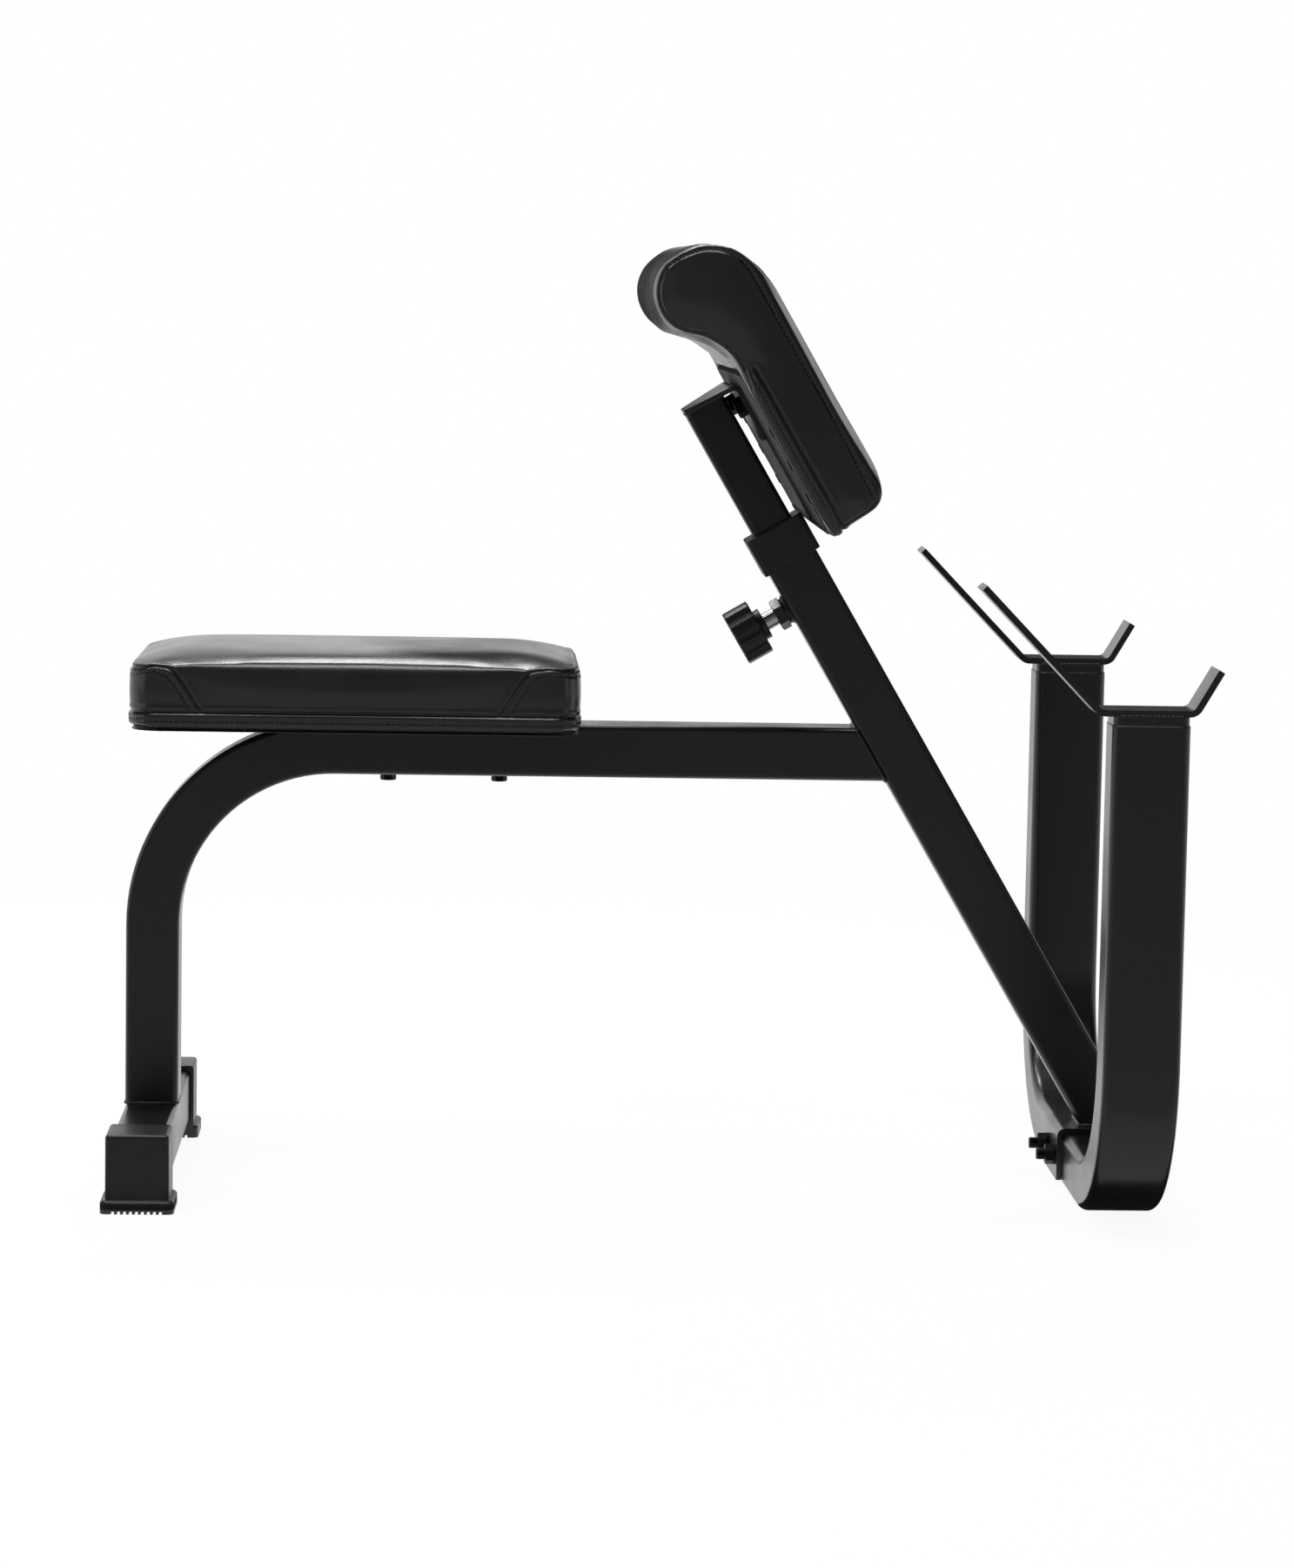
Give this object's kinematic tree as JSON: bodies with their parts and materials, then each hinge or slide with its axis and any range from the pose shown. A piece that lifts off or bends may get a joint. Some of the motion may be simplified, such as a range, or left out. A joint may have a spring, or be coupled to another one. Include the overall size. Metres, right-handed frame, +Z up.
{
  "type": "preacher curl bench",
  "caption": "Black tube-steel preacher curl bench with a padded seat, a sloping telescopic arm pad set by a lock pin and knob, and a U-shaped stand with bent bar catches.",
  "frame": {"origin": "on the floor under the middle of the bench's overall length and width", "axes": "+X along the bench from the seat to the bar catches, +Y to the left of the person who sits on it, +Z up"},
  "size_m": [0.997, 0.6, 0.8885],
  "materials": {
    "black_paint": "satin",
    "black_plastic": "matte",
    "black_upholstery": "satin",
    "board": "matte",
    "fastener": "satin",
    "chrome": "polished"
  },
  "bodies": {
    "frame": {"main_rail": "black_paint", "rear_foot_tube": "black_paint", "rear_foot_cap_left": "black_plastic", "rear_foot_cap_right": "black_plastic", "bar_stand_tube": "black_paint", "stand_end_plate_left": "black_paint", "stand_end_plate_right": "black_paint", "bar_catch_left": "black_paint", "bar_catch_right": "black_paint", "post_foot_bracket": "black_paint", "stand_bolts": "fastener", "stand_washers": "fastener", "stand_nuts": "fastener", "post_tube": "black_paint", "post_collar": "black_plastic", "lock_housing": "black_paint", "seat_board": "board", "seat_cushion": "black_upholstery", "seat_bolts": "fastener", "seat_washers": "fastener", "seat_tee_nuts": "fastener"},
    "carriage": {"inner_post_tube": "black_paint", "inner_guide": "black_plastic", "arm_pad_bracket": "black_paint", "arm_pad_bolts": "fastener", "arm_pad_washers": "fastener", "arm_pad_tee_nuts": "fastener", "arm_pad_board": "board", "arm_pad_cushion": "black_upholstery"},
    "lock_pin": {"lock_pin": "chrome"},
    "lock_knob": {"lock_knob": "black_plastic"}
  },
  "joints": [
    {"name": "arm_pad_height", "type": "slide", "parent": "frame", "child": "carriage", "axis": [-0.5075, 0, 0.8616], "range_m": [-0.12, 0.08]},
    {"name": "lock_pin_slide", "type": "slide", "parent": "frame", "child": "lock_pin", "axis": [0.8616, 0, 0.5075], "range_m": [0, 0.008]},
    {"name": "lock_knob_turn", "type": "hinge", "parent": "lock_pin", "child": "lock_knob", "pos_m": [0.15257, 0, 0.55561], "axis": [0.8616, 0, 0.5075], "continuous": true}
  ]
}
